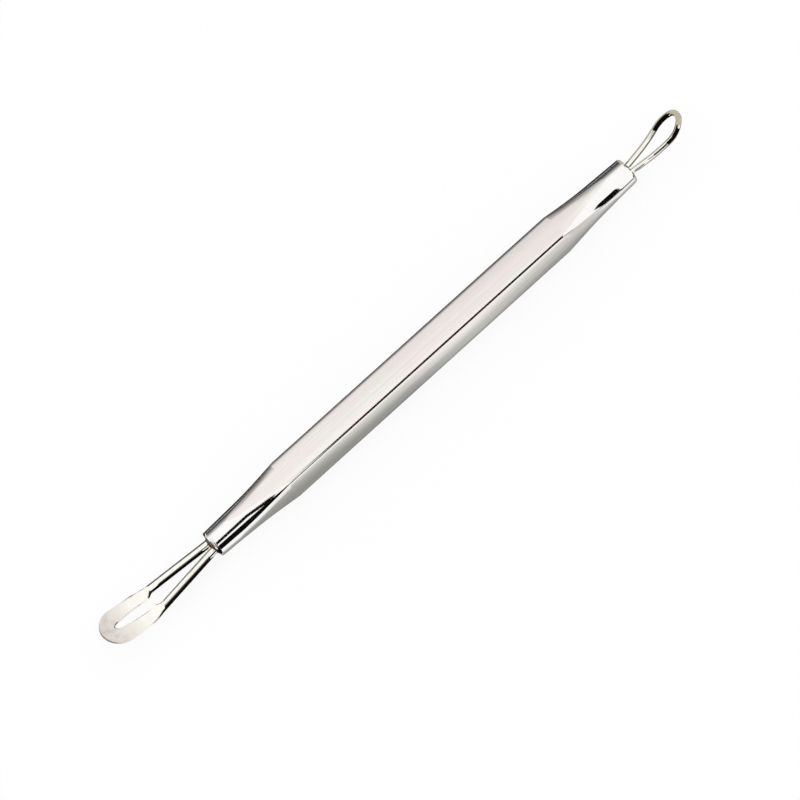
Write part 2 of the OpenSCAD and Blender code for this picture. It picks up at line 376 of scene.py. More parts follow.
# %% The way the handle's surface faces
def surface_normal(region, point, face_normal):
    """Direction that the handle's surface truly faces at a point of it, in millimetres."""
    x, y, z = point.x, point.y, point.z - AXIS_Z
    depth = max(0, HANDLE_LEN / 2 - abs(x))
    if region == "lathe":
        facing, share = turned_direction(math.atan2(z, y), depth)
        slope = math.copysign(lathe_slope(depth) * share, x)
        return Vector((slope, math.cos(facing), math.sin(facing))).normalized()
    if region == "corner":
        turn = math.atan2(abs(z) - CORNER, abs(y) - CORNER)
        lean = EDGE_ROLL + turn * (1 - 4 * EDGE_ROLL / math.pi)
        return Vector((0, math.copysign(math.cos(lean), y), math.copysign(math.sin(lean), z)))
    if region == "flat" and abs(face_normal.y) > abs(face_normal.z):
        lean = edge_roll(z, depth)
        return Vector((0, math.copysign(math.cos(lean), face_normal.y), math.copysign(math.sin(lean), z)))
    if region == "flat":
        lean = edge_roll(y, depth, CROWN)
        return Vector((0, math.copysign(math.sin(lean), y), math.copysign(math.cos(lean), face_normal.z)))
    return face_normal


# %% [markdown]
# The handle's rings are skinned like any others. Then the points that fell together are merged, and
# the faces that shrank to nothing go. A number on each face keeps the region that it belongs to,
# because the region decides its finish, rubbed or turned, and its normals.

# %% Skin the handle
REGIONS = ["flat", "corner", "lathe", "inside"]
MERGE_WITHIN = 1e-8
EMPTY_EDGE = 1e-9
RUBBED = 0
TURNED = 1


def finish_handle_mesh(mesh, regions):
    """Deletes the empty faces and writes the exact normals."""
    work = bmesh.new()
    work.from_mesh(mesh)
    layer = work.faces.layers.int.new("region")
    work.faces.ensure_lookup_table()
    for face, region in zip(work.faces, regions):
        face[layer] = REGIONS.index(region)
    bmesh.ops.remove_doubles(work, verts=work.verts, dist=MERGE_WITHIN)
    bmesh.ops.dissolve_degenerate(work, edges=work.edges, dist=EMPTY_EDGE)
    bmesh.ops.recalc_face_normals(work, faces=work.faces)
    work.to_mesh(mesh)
    work.free()
    region_of = mesh.attributes["region"].data
    normals = [None] * len(mesh.loops)
    for polygon in mesh.polygons:
        region = REGIONS[region_of[polygon.index].value]
        polygon.material_index = TURNED if region == "lathe" else RUBBED
        for loop in polygon.loop_indices:
            point = mesh.vertices[mesh.loops[loop].vertex_index].co / MM
            normals[loop] = surface_normal(region, point, polygon.normal)
    mesh.normals_split_custom_set(normals)


def make_handle(flat_bore_r, fine_bore_r):
    depths = handle_depths()
    outside = [(-HANDLE_LEN / 2 + d, lathe_radius(d)) for d in depths]
    outside += [(HANDLE_LEN / 2 - d, lathe_radius(d)) for d in reversed(depths[:-1])]
    left = list(bore_rings(flat_bore_r, -HANDLE_LEN / 2, 1))
    right = list(bore_rings(fine_bore_r, HANDLE_LEN / 2, -1))
    rings = left[::-1] + [[(x, y, z) for y, z in whole_section(r)] for x, r in outside] + right
    size = len(rings[0])
    faces = skin_faces(len(rings), size)
    piece = add_mesh("handle_steel", [(x, y, z + AXIS_Z) for ring in rings for x, y, z in ring], faces)
    kinds = SEGMENT_KINDS * 4
    shell_rows = range(len(left), len(left) + len(outside) - 1)
    regions = [kinds[i % size] if i // size in shell_rows else "inside" for i in range(len(faces))]
    finish_handle_mesh(piece.data, regions)
    return piece


# %% [markdown]
# The two holes are as wide as the pair of legs that goes into each, and a little filler metal.
# The fine loop takes a smaller drill than the flat one. The widths of the wires and the gaps
# between their legs are set here, because the holes follow from them.

# %% Make the handle
FILLER_WALL = 0.12
FIT_GAP = 0.02
FLAT_WIRE_D = 1.35
FLAT_ROOT_GAP = 0.25
FINE_WIRE_D = 0.95
FINE_ROOT_GAP = 0.4
FLAT_LEG_GAP = FLAT_WIRE_D + FLAT_ROOT_GAP
FINE_LEG_GAP = FINE_WIRE_D + FINE_ROOT_GAP


def bore_radius(wire_d, leg_gap):
    return (leg_gap + wire_d) / 2 + 2 * FIT_GAP + FILLER_WALL


flat_bore_r = bore_radius(FLAT_WIRE_D, FLAT_LEG_GAP)
fine_bore_r = bore_radius(FINE_WIRE_D, FINE_LEG_GAP)
handle = make_handle(flat_bore_r, fine_bore_r)
print("handle:", len(handle.data.polygons), "faces, bores", round(2 * flat_bore_r, 2), "and",
      round(2 * fine_bore_r, 2), "mm")

# %% [markdown]
# A bent wire is described the way a wire bender sees it: go straight for so long, then turn so
# far over such a length. Seen from above, each loop is such a path from the inner end of one leg
# to the tip, and the same path backwards. Seen from the side, the whole loop lies on a sheet that
# is bent along a second path. Walking the first path and laying every point on the second gives
# the true line of the wire, with bends that flow into each other without a kink.

# %% Walk along a bent wire
ALMOST_STRAIGHT = 1e-9


def go(place, length, turn):
    """The place (x, y, heading, length so far) after one stretch that turns evenly to the left."""
    x, y, heading, so_far = place
    if abs(turn) < ALMOST_STRAIGHT:
        return (x + length * math.cos(heading), y + length * math.sin(heading), heading, so_far + length)
    r = length / turn
    after = heading + turn
    return (x + r * (math.sin(after) - math.sin(heading)), y - r * (math.cos(after) - math.cos(heading)),
            after, so_far + length)


def walk(path, start, step):
    """Places along a path of stretches (length, turn), about one step apart."""
    places = []
    for length, turn in path:
        count = max(1, math.ceil(length / step))
        places += [go(start, length * i / count, turn * i / count) for i in range(count)]
        start = go(start, length, turn)
    return places + [start]


def place_at(path, distance, start):
    """The place at a distance along a path, whose last stretch runs on as far as it is asked."""
    for length, turn in path[:-1]:
        if distance < length:
            return go(start, distance, turn * distance / length)
        start = go(start, length, turn)
        distance -= length
    length, turn = path[-1]
    return go(start, distance, turn * distance / length)


# %% [markdown]
# Two measures of a path are needed below: how long it is, and how far a leg has to lean out. The leg
# bends out, runs straight and bends back, and together that has to gain a given offset. The lean
# angle for it has a formula, so nothing is tried out step by step.

# %% Measure a path
def path_length(path):
    return sum(length for length, turn in path)


def spread_angle(offset, bend_sum, straight):
    """Angle at which a leg leans out to gain an offset over two opposite bends and a straight."""
    return math.asin((offset - bend_sum) / math.hypot(bend_sum, straight)) + math.atan2(bend_sum, straight)


# %% [markdown]
# The section of a wire is a circle. Hammered flat, it becomes a bar with half-round edges that
# is wider and thinner, but its area stays what it was, because metal can't be pressed smaller.
# That gives the thickness at every width. A hammered band isn't perfect either: its width wanders
# by a few hundredths of a millimetre, and its faces have shallow dents. Both come from smooth
# noise, which is the same every time the script runs.

# %% One ring round a wire
DENT_SIZE = 1.1
SIDES_APART = 5


def hammered(width, wire_d):
    """Thickness of a round wire hammered out to a width, with its area kept."""
    spare = 1 - math.pi / 4
    return (width - math.sqrt(max(width**2 - spare * math.pi * wire_d**2, 0))) / (2 * spare)


def dent_depth(x, y, side):
    """A share from 0 to 1 that wanders over the face of a hammered band."""
    return 0.5 + 0.5 * noise.noise(Vector((x / DENT_SIZE, y / DENT_SIZE, SIDES_APART * side)))


def wire_ring(place, inner, outer, thickness, rise_path, leg_in_bore, sides, dent=0.0):
    """Points round the wire at a place of its path, laid on the sheet that follows rise_path."""
    x, y, heading, so_far = place
    ring = []
    for k in range(sides):
        angle = (k + 0.5) * 2 * math.pi / sides
        edge = outer - thickness / 2 if math.cos(angle) > 0 else thickness / 2 - inner
        across = edge + thickness / 2 * math.cos(angle)
        up = thickness / 2 * math.sin(angle)
        flat_x = x - across * math.sin(heading)
        flat_y = y + across * math.cos(heading)
        if dent:
            up -= math.copysign(dent, up) * dent_depth(flat_x, flat_y, math.copysign(1, up))
        sheet = place_at(rise_path, flat_x + leg_in_bore, (-leg_in_bore, 0, 0, 0))
        ring.append((sheet[0] - up * math.sin(sheet[2]), flat_y, sheet[1] + up * math.cos(sheet[2])))
    return ring


def at_end(points, end_sign):
    """Turns points that run out of an end face along +X to that end of the handle."""
    return [(end_sign * (HANDLE_LEN / 2 + x), end_sign * y, z + AXIS_Z) for x, y, z in points]


# %% [markdown]
# The flat loop. Its legs leave the braze side by side, spread a little, and turn parallel again
# where the hammering starts. There the round wire flows out into a flat band: within a millimetre
# on the slot's side, and more gently on the outer side. The band runs round a half-circle nose,
# and it swells beside it, which draws the slot in to a narrow tip. From the side, the legs dip
# slightly and the spoon rises.

# %% Sizes of the flat loop
ROOT_BEND_R = 4.0
BEAD_HEIGHT = 0.35
LEG_IN_BORE = BORE_DEPTH - FIT_GAP
LEG_STRAIGHT = LEG_IN_BORE + BEAD_HEIGHT + FIT_GAP
FLAT_LEG_LEN = 10.8
FLAT_FLARE_LEN = 1.0
FLAT_SHOULDER_LEN = 3.4
FLAT_BAND_W = 2.5
FLAT_SLOT_W = 1.65
FLAT_ARM_BEND_R = 4.4
FLAT_ARM_LEN = 5.6
FLAT_SWELL = 0.3
FLAT_DIP = math.radians(1.8)
FLAT_RISE = math.radians(14.8)
FLAT_RISE_R = 5.0
FLAT_SIDES = 40
FLAT_STEP = 0.16
DENT = 0.02
WIDTH_WANDER = 0.05
WANDER_LEN = 1.7
WANDER_SEED = 3.1


def spread_half(past, spread_len):
    """Half the wire's width at a distance past the end of its round part."""
    return (FLAT_WIRE_D + (FLAT_BAND_W - FLAT_WIRE_D) * smooth(past / spread_len)) / 2


def hump(x):
    """A soft rise and fall from 0 over 1 to 0, with its top past the middle."""
    return math.sin(math.pi * x * x)**2


band_thickness = hammered(FLAT_BAND_W, FLAT_WIRE_D)
print("the wire is", FLAT_WIRE_D, "mm thick, and the band", round(band_thickness, 2), "mm")

# %% [markdown]
# Half of the loop is one list of stretches, from the inner end of a leg to the tip, and the other
# half is the same list backwards. At every place along it the two half widths of the wire are
# asked for one by one, because the metal spreads sooner on the slot's side than on the outer side.

# %% Make the flat loop
def make_flat_loop():
    half_gap = (FLAT_SLOT_W + FLAT_BAND_W) / 2
    spread = spread_angle(half_gap - FLAT_LEG_GAP / 2, ROOT_BEND_R + FLAT_ARM_BEND_R,
                          FLAT_LEG_LEN + FLAT_FLARE_LEN)
    start = (-LEG_IN_BORE, FLAT_LEG_GAP / 2, 0, 0)
    legs = [(LEG_STRAIGHT, 0), (ROOT_BEND_R * spread, spread), (FLAT_LEG_LEN, 0), (FLAT_FLARE_LEN, 0),
            (FLAT_ARM_BEND_R * spread, -spread)]
    half = legs + [(FLAT_ARM_LEN, 0), (half_gap * math.pi / 2, -math.pi / 2)]
    arms_from = path_length(legs)
    flare_from = arms_from - FLAT_ARM_BEND_R * spread - FLAT_FLARE_LEN
    arms_x = place_at(legs, arms_from, start)[0] + LEG_IN_BORE
    rise = [(LEG_STRAIGHT, 0), (ROOT_BEND_R * FLAT_DIP, -FLAT_DIP),
            (arms_x - LEG_STRAIGHT - ROOT_BEND_R * FLAT_DIP, 0),
            (FLAT_RISE_R * (FLAT_DIP + FLAT_RISE), FLAT_DIP + FLAT_RISE), (FLAT_ARM_LEN, 0)]
    total = path_length(half)
    rings = []
    for place in walk(half + half[::-1], start, FLAT_STEP):
        far = min(place[3], 2 * total - place[3])
        flat = smooth((far - flare_from) / FLAT_FLARE_LEN)
        wander = WIDTH_WANDER * flat * noise.noise(Vector((place[3] / WANDER_LEN, WANDER_SEED, 0)))
        outer = spread_half(far - flare_from, FLAT_SHOULDER_LEN) - abs(wander)
        swell = FLAT_SWELL * hump(max(0, (far - arms_from) / (total - arms_from)))
        inner = spread_half(far - flare_from, FLAT_FLARE_LEN) + swell
        thickness = hammered(inner + outer, FLAT_WIRE_D)
        rings.append(at_end(wire_ring(place, inner, outer, thickness, rise, LEG_IN_BORE, FLAT_SIDES,
                                      DENT * flat), -1))
    points = [p for ring in rings for p in ring]
    return add_mesh("flat_loop_steel", points, skin_faces(len(rings), FLAT_SIDES)), rings


flat_loop, flat_rings = make_flat_loop()
print("flat loop:", len(flat_rings), "rings of", FLAT_SIDES, "points")

# %% [markdown]
# The fine loop is one thin wire that keeps its round section. Its side curves hand over to a
# tighter nose, which gives the pear shape, and its tip curls up so that it can be pressed on skin
# without the handle touching the face.

# %% Make the fine loop
FINE_LEG_LEN = 7.0
FINE_LOOP_W = 4.5
FINE_SIDE_R = 5.0
FINE_NOSE_R = 1.2
FINE_ROOT_RISE = math.radians(3)
FINE_CURL_START = 3.4
FINE_TIP_RISE = math.radians(36)
FINE_SIDES = 32
FINE_STEP = 0.12


def make_fine_loop():
    half_gap = (FINE_LOOP_W - FINE_WIRE_D) / 2
    spread = spread_angle(half_gap - FINE_LEG_GAP / 2, ROOT_BEND_R + FINE_SIDE_R, FINE_LEG_LEN)
    handover = math.acos((FINE_SIDE_R - half_gap) / (FINE_SIDE_R - FINE_NOSE_R))
    start = (-LEG_IN_BORE, FINE_LEG_GAP / 2, 0, 0)
    half = [(LEG_STRAIGHT, 0), (ROOT_BEND_R * spread, spread), (FINE_LEG_LEN, 0),
            (FINE_SIDE_R * (spread + handover), -spread - handover),
            (FINE_NOSE_R * (math.pi / 2 - handover), handover - math.pi / 2)]
    reach = place_at(half, path_length(half), start)[0]
    rise = [(LEG_STRAIGHT, 0), (ROOT_BEND_R * FINE_ROOT_RISE, FINE_ROOT_RISE),
            (FINE_CURL_START + LEG_IN_BORE - LEG_STRAIGHT - ROOT_BEND_R * FINE_ROOT_RISE, 0),
            (reach - FINE_CURL_START, FINE_TIP_RISE - FINE_ROOT_RISE)]
    r = FINE_WIRE_D / 2
    rings = [at_end(wire_ring(place, r, r, FINE_WIRE_D, rise, LEG_IN_BORE, FINE_SIDES), 1)
             for place in walk(half + half[::-1], start, FINE_STEP)]
    points = [p for ring in rings for p in ring]
    return add_mesh("fine_loop_steel", points, skin_faces(len(rings), FINE_SIDES)), rings


fine_loop, fine_rings = make_fine_loop()
print("fine loop:", len(fine_rings), "rings of", FINE_SIDES, "points")

# %% [markdown]
# Braze is a hard solder with a yellowish look. It runs into the hole round the legs and sets as a
# low bead over the mouth, with a small fillet where it has crept up each leg. The bead is a disc
# of rings whose height is a formula of the place: a dome, the two fillets, and a few lumps. Below
# the mouth it goes on as a plug that fills the hole.

# %% Make the filler beads
BEAD_LIP = 0.2
BEAD_RINGS = 14
BEAD_POINTS = 96
FILLET_HEIGHT = 0.3
FILLET_REACH = 0.16
BEAD_LUMP = 0.05
DOME_SHARE = 0.55
LUMPS_PER_MM = 1.6
EDGE_LIFT = 0.002
FLAT_BEAD_SEED = 1.7
FINE_BEAD_SEED = 8.2


def bead_height(y, z, bead_r, wire_r, leg_gap, seed):
    """Height of the bead above the end face at a place of the disc."""
    from_middle = math.hypot(y, z) / bead_r
    dome = BEAD_HEIGHT * (1 - from_middle**2)
    to_leg = min(math.hypot(y - side * leg_gap / 2, z) for side in (-1, 1)) - wire_r
    fillet = FILLET_HEIGHT * math.exp(-max(to_leg, 0) / FILLET_REACH)
    lump = BEAD_LUMP * noise.noise(Vector((y * LUMPS_PER_MM, z * LUMPS_PER_MM, seed)))
    return (1 - from_middle**4) * (dome * DOME_SHARE + fillet + lump) + EDGE_LIFT


def make_bead(name, wire_d, leg_gap, bore_r, end_sign, seed):
    bead_r = bore_r + BEAD_LIP
    plug_r = bore_r - FIT_GAP
    angles = [2 * math.pi * k / BEAD_POINTS for k in range(BEAD_POINTS)]
    rings = [[(-LEG_IN_BORE, plug_r * math.cos(a), plug_r * math.sin(a)) for a in angles],
             [(0, plug_r * math.cos(a), plug_r * math.sin(a)) for a in angles]]
    for i in range(BEAD_RINGS):
        r = bead_r * (1 - i / BEAD_RINGS)
        rings.append([(bead_height(r * math.cos(a), r * math.sin(a), bead_r, wire_d / 2, leg_gap, seed),
                       r * math.cos(a), r * math.sin(a)) for a in angles])
    points = at_end([p for ring in rings for p in ring], end_sign)
    return add_mesh(name, points, skin_faces(len(rings), BEAD_POINTS))


flat_bead = make_bead("flat_loop_braze", FLAT_WIRE_D, FLAT_LEG_GAP, flat_bore_r, -1, FLAT_BEAD_SEED)
fine_bead = make_bead("fine_loop_braze", FINE_WIRE_D, FINE_LEG_GAP, fine_bore_r, 1, FINE_BEAD_SEED)
print("beads:", round(2 * (flat_bore_r + BEAD_LIP), 2), "and", round(2 * (fine_bore_r + BEAD_LIP), 2),
      "mm wide")

# %% [markdown]
# Now the finishes. A metal is a Principled shader with Metallic at 1, and its character is in two
# things: how blurred its reflections are, and in which direction. The node trees are built in code,
# so small helpers come first: a new metal, a node with its sockets filled, a sum, a change of
# range, and a blend of two colours.

# %% Helpers for shader nodes
def new_finish(name, metallic=1.0):
    material = bpy.data.materials.new(name)
    material.use_nodes = True
    shader = material.node_tree.nodes["Principled BSDF"]
    shader.inputs["Metallic"].default_value = metallic
    return material, material.node_tree, shader


def fill(tree, socket, value):
    """Links a socket to another node's, or sets it to a number or a colour."""
    if isinstance(value, bpy.types.NodeSocket):
        tree.links.new(value, socket)
    else:
        socket.default_value = value


def add_node(tree, kind, **inputs):
    """A node whose inputs are filled by name."""
    node = tree.nodes.new(kind)
    for name, value in inputs.items():
        fill(tree, node.inputs[name.replace("_", " ")], value)
    return node


def calculate(tree, operation, *values):
    """Result of a maths node."""
    node = tree.nodes.new("ShaderNodeMath")
    node.operation = operation
    for socket, value in zip(node.inputs, values):
        fill(tree, socket, value)
    return node.outputs["Value"]


def remap(tree, value, low, high, to_low=0, to_high=1):
    """Moves a value from one range to another, and keeps it inside that one."""
    node = add_node(tree, "ShaderNodeMapRange", Value=value, From_Min=low, From_Max=high, To_Min=to_low,
                    To_Max=to_high)
    return node.outputs["Result"]


def blend_colours(tree, share, first, second):
    """Colour that goes from the first to the second as share goes from 0 to 1."""
    node = tree.nodes.new("ShaderNodeMix")
    node.data_type = "RGBA"
    tree.links.new(share, node.inputs["Factor"])
    for socket, value in zip([s for s in node.inputs if s.type == "RGBA"], (first, second)):
        fill(tree, socket, (*value, 1) if isinstance(value, tuple) else value)
    return [s for s in node.outputs if s.type == "RGBA"][0]


# %% [markdown]
# Rubbing, turning and drawing all leave fine marks in steel. Noise makes them when its coordinates
# are stretched: few grains to the metre one way, and thousands the other way. An image of scratches
# would do it too, but noise needs no unwrapping and never repeats. The same marks drive the
# roughness, and a bump so shallow that it only makes reflections shimmer.

# %% Marks in steel
NOISE_LOW = 0.3
NOISE_HIGH = 0.7


def marks(tree, along, across, detail):
    """Noise from 0 to 1 with so many grains to the metre along the tool and across it."""
    place = tree.nodes.new("ShaderNodeTexCoord").outputs["Object"]
    mapping = add_node(tree, "ShaderNodeMapping", Vector=place, Scale=(along, across, across))
    return add_node(tree, "ShaderNodeTexNoise", Vector=mapping.outputs["Vector"], Scale=1.0,
                    Detail=detail).outputs["Fac"]


def rough(tree, noise_marks, smoothest, roughest):
    """Roughness that is driven by marks, over the range that most noise lies in."""
    return remap(tree, noise_marks, NOISE_LOW, NOISE_HIGH, smoothest, roughest)


def dress(tree, shader, colour, roughness, relief, relief_depth):
    """Links colour and roughness to a shader, and a bump that is so many metres deep."""
    tree.links.new(colour, shader.inputs["Base Color"])
    tree.links.new(roughness, shader.inputs["Roughness"])
    bump = add_node(tree, "ShaderNodeBump", Height=relief, Distance=relief_depth, Strength=1.0)
    tree.links.new(bump.outputs["Normal"], shader.inputs["Normal"])


# %% [markdown]
# The flats of the bar were rubbed lengthwise, so fine streaks run along them. Their steel also has
# a faint stain, pink in some places and green in others: a slow noise that blends two tints. A
# second noise of broader streaks darkens it a little.

# %% Rubbed steel of the flats
PINK_STEEL = (0.94, 0.86, 0.845)
GREEN_STEEL = (0.91, 0.90, 0.85)
DARK_BAND = (0.74, 0.72, 0.71)
CLOUD_EDGES = (0.38, 0.62)
BAND_EDGES = (0.42, 0.72)
DARKEST_BAND = 0.5


def rubbed_finish():
    material, tree, shader = new_finish("rubbed_steel")
    streaks = marks(tree, along=60, across=5200, detail=4.0)
    bands = marks(tree, along=18, across=1300, detail=2.0)
    clouds = marks(tree, along=90, across=300, detail=2.0)
    stained = blend_colours(tree, remap(tree, clouds, *CLOUD_EDGES), PINK_STEEL, GREEN_STEEL)
    darkened = remap(tree, bands, *BAND_EDGES, to_high=DARKEST_BAND)
    roughness = rough(tree, streaks, smoothest=0.07, roughest=0.17)
    dress(tree, shader, blend_colours(tree, darkened, stained, DARK_BAND), roughness, streaks,
          relief_depth=1.2e-6)
    return material


handle.data.materials.append(rubbed_finish())
print("handle finishes:", [m.name for m in handle.data.materials])

# %% [markdown]
# The ends were polished while the bar spun in the lathe. Their fine lines run round the bar, so
# the noise is stretched the other way, and they are brighter and smoother than the flats.

# %% Turned steel of the ends
TURNED_BRIGHT = (0.985, 0.965, 0.955)
TURNED_LINE = (0.95, 0.935, 0.925)
LINE_EDGES = (0.3, 0.8)


def turned_finish():
    material, tree, shader = new_finish("turned_steel")
    lines = marks(tree, along=6000, across=60, detail=3.0)
    colour = blend_colours(tree, remap(tree, lines, *LINE_EDGES), TURNED_BRIGHT, TURNED_LINE)
    roughness = rough(tree, lines, smoothest=0.03, roughest=0.07)
    dress(tree, shader, colour, roughness, lines, relief_depth=1.2e-7)
    return material


handle.data.materials.append(turned_finish())
print("handle finishes:", [m.name for m in handle.data.materials])

# %% [markdown]
# The wire of the loops was drawn through a die, which leaves it bright. Where it was hammered
# flat it is rougher. Its colour there is painted reflection: cream along the arms and grey
# towards the nose. A mask along X tells the shader where on the loop it is, and noise keeps
# the border from being a straight line.

# %% Hammered steel of the flat loop
FLARE_X = -(HANDLE_LEN / 2 + 11.6)
NOSE_X = -(HANDLE_LEN / 2 + 19.6)
FLAT_BORDER = (FLARE_X + 0.5, FLARE_X - 1.5)
PAINTED_REFLECTION_BORDER = (FLARE_X - 3.5, NOSE_X - 0.5)
BORDER_WANDER = 0.6
# Painted reflection: cream tones for the arms of the spoon, grey ones for its nose.
CREAM = (0.98, 0.96, 0.90)
DEEP_CREAM = (0.95, 0.93, 0.86)
NOSE_REFLECTION_GREY = (0.62, 0.56, 0.52)
PALE_GREY = (0.72, 0.68, 0.62)
CREAM_EDGES = (0.4, 0.6)
GREY_EDGES = (0.35, 0.65)
ROUND_ROUGHNESS = 0.05
FLAT_ROUGHNESS = 0.12


def along_mask(tree, from_x, to_x):
    """Goes from 0 to 1 between two places along X, in millimetres, over a wandering border."""
    place = tree.nodes.new("ShaderNodeTexCoord").outputs["Object"]
    x = add_node(tree, "ShaderNodeSeparateXYZ", Vector=place).outputs["X"]
    wander = marks(tree, along=700, across=700, detail=2.0)
    shift = remap(tree, wander, 0, 1, -BORDER_WANDER * MM, BORDER_WANDER * MM)
    return remap(tree, calculate(tree, "ADD", x, shift), from_x * MM, to_x * MM)


def hammered_finish():
    material, tree, shader = new_finish("hammered_steel")
    flat = along_mask(tree, *FLAT_BORDER)
    # Painted reflection: this mask takes the colour from reflected cream to reflected grey.
    grey_as_painted_reflection = along_mask(tree, *PAINTED_REFLECTION_BORDER)
    grain = marks(tree, along=900, across=2600, detail=4.0)
    patches = marks(tree, along=900, across=900, detail=1.0)
    cream = blend_colours(tree, remap(tree, patches, *CREAM_EDGES), CREAM, DEEP_CREAM)
    grey = blend_colours(tree, remap(tree, patches, *GREY_EDGES), NOSE_REFLECTION_GREY, PALE_GREY)
    from_blows = remap(tree, flat, 0, 1, ROUND_ROUGHNESS, FLAT_ROUGHNESS)
    from_grain = rough(tree, grain, smoothest=0, roughest=0.08)
    roughness = calculate(tree, "ADD", from_blows, from_grain)
    dress(tree, shader, blend_colours(tree, grey_as_painted_reflection, cream, grey), roughness, grain, relief_depth=1.5e-6)
    return material


flat_loop.data.materials.append(hammered_finish())
print("the flat loop turns dull between", PAINTED_REFLECTION_BORDER[0], "and", PAINTED_REFLECTION_BORDER[1], "mm along X")

# %% [markdown]
# The fine wire is as the die left it: bright and a little warm, with faint lines drawn out along
# its length.

# %% Drawn steel of the fine loop
DRAWN_BRIGHT = (0.97, 0.96, 0.92)
DRAWN_LINE = (0.87, 0.85, 0.78)


def drawn_finish():
    material, tree, shader = new_finish("drawn_steel")
    lines = marks(tree, along=300, across=4200, detail=3.0)
    colour = blend_colours(tree, remap(tree, lines, *LINE_EDGES), DRAWN_BRIGHT, DRAWN_LINE)
    roughness = rough(tree, lines, smoothest=0.02, roughest=0.06)
    dress(tree, shader, colour, roughness, lines, relief_depth=6e-7)
    return material


fine_loop.data.materials.append(drawn_finish())
print("fine loop finish:", fine_loop.data.materials[0].name)

# %% [markdown]
# Fresh braze has the colour of straw, and the flux burnt off beside it leaves brown. The left bead
# is nearly all brown and the right one nearly clean. One function makes both: a share moves the
# border between the two colours along the noise, and takes some of the shine off the braze.

# %% Braze
STRAW_METAL = (0.78, 0.68, 0.46)
BURNT_BROWN = (0.10, 0.05, 0.03)
CLEAN_EDGE = 0.7
STAINED_EDGE = 0.3
EDGE_BLUR = 0.06
SHINE_LOST = 0.5


def braze_finish(name, stained):
    """Straw-coloured filler; stained is the share of it that flux has burnt brown."""
    material, tree, shader = new_finish(name, metallic=1 - SHINE_LOST * stained)
    stain = marks(tree, along=2600, across=2600, detail=3.0)
    edge = CLEAN_EDGE + (STAINED_EDGE - CLEAN_EDGE) * stained
    burnt = remap(tree, stain, edge - EDGE_BLUR, edge + EDGE_BLUR)
    roughness = rough(tree, stain, smoothest=0.25, roughest=0.5)
    dress(tree, shader, blend_colours(tree, burnt, STRAW_METAL, BURNT_BROWN), roughness, stain,
          relief_depth=8e-6)
    return material


flat_bead.data.materials.append(braze_finish("braze_stained", stained=0.95))
fine_bead.data.materials.append(braze_finish("braze_clean", stained=0.1))
print("braze finishes:", [bead.data.materials[0].name for bead in (flat_bead, fine_bead)])

# %% [markdown]
# The studio. The tool lies on a white floor under a white sky, and both light it evenly at a plain
# level. The floor would come out slightly grey, as white paper does, so the camera sees it mostly
# as plain white, and an eighth of it as real lit paper, which keeps the tool's soft shadow. Metal
# sees the same floor as the camera.

# %% Floor
FLOOR_SIZE = 3.0
PAPER_SHARE = 0.13
PAPER_WHITE = (0.98, 0.98, 0.98)
WHITE = (1, 1, 1)


def new_surface(name):
    """A material whose node tree holds nothing but its output."""
    material = bpy.data.materials.new(name)
    material.use_nodes = True
    tree = material.node_tree
    tree.nodes.remove(tree.nodes["Principled BSDF"])
    return material, tree, tree.nodes["Material Output"].inputs["Surface"]


def tone(tree, colour):
    """A surface that shows a colour by itself and needs no light."""
    return add_node(tree, "ShaderNodeEmission", Color=(*colour, 1), Strength=1.0)


def mix_surfaces(tree, share, first, second):
    """Surface that goes from the first to the second as share goes from 0 to 1."""
    mix = tree.nodes.new("ShaderNodeMixShader")
    for socket, value in zip(mix.inputs, (share, first, second)):
        tree.links.new(value, socket)
    return mix.outputs["Shader"]


def make_floor():
    bpy.ops.mesh.primitive_plane_add(size=FLOOR_SIZE)
    floor = bpy.context.object
    floor.name = "floor"
    material, tree, surface = new_surface("floor_white")
    paper = add_node(tree, "ShaderNodeBsdfDiffuse", Color=(*PAPER_WHITE, 1)).outputs["BSDF"]
    rays = tree.nodes.new("ShaderNodeLightPath").outputs
    seen = calculate(tree, "MAXIMUM", rays["Is Camera Ray"], rays["Is Glossy Ray"])
    share = remap(tree, seen, 0, 1, 0, 1 - PAPER_SHARE)
    plain = tone(tree, WHITE).outputs["Emission"]
    tree.links.new(mix_surfaces(tree, share, paper, plain), surface)
    floor.data.materials.append(material)


make_floor()
print("floor:", FLOOR_SIZE, "m square, and", PAPER_SHARE, "of it is lit paper")

# %% [markdown]
# Polished steel in an all-white room would be hard to see, because it shows nothing but white. The
# sky that the steel sees is therefore dark low down behind the tool, and white higher up, which
# shades the turned ends towards their rear side. Light still comes evenly from everywhere, because
# only glossy rays meet the dark part.

# %% Sky
SKY_STOPS = [(0.0, 0.025), (0.39, 0.12), (0.67, 0.50), (0.78, 0.88), (0.85, 1.0)]
SKY_SKEW = 0.28
BEHIND_FROM = 0.0
BEHIND_TO = 0.3


def grey_ramp(tree, share, stops, tint=WHITE):
    """Colour of a ramp of greys, whose stops are given as pairs of place and grey."""
    ramp = tree.nodes.new("ShaderNodeValToRGB")
    tree.links.new(share, ramp.inputs["Fac"])
    while len(ramp.color_ramp.elements) < len(stops):
        ramp.color_ramp.elements.new(1.0)
    for element, (place, grey) in zip(ramp.color_ramp.elements, stops):
        element.position = place
        element.color = (*[grey * channel for channel in tint], 1)
    return ramp.outputs["Color"]


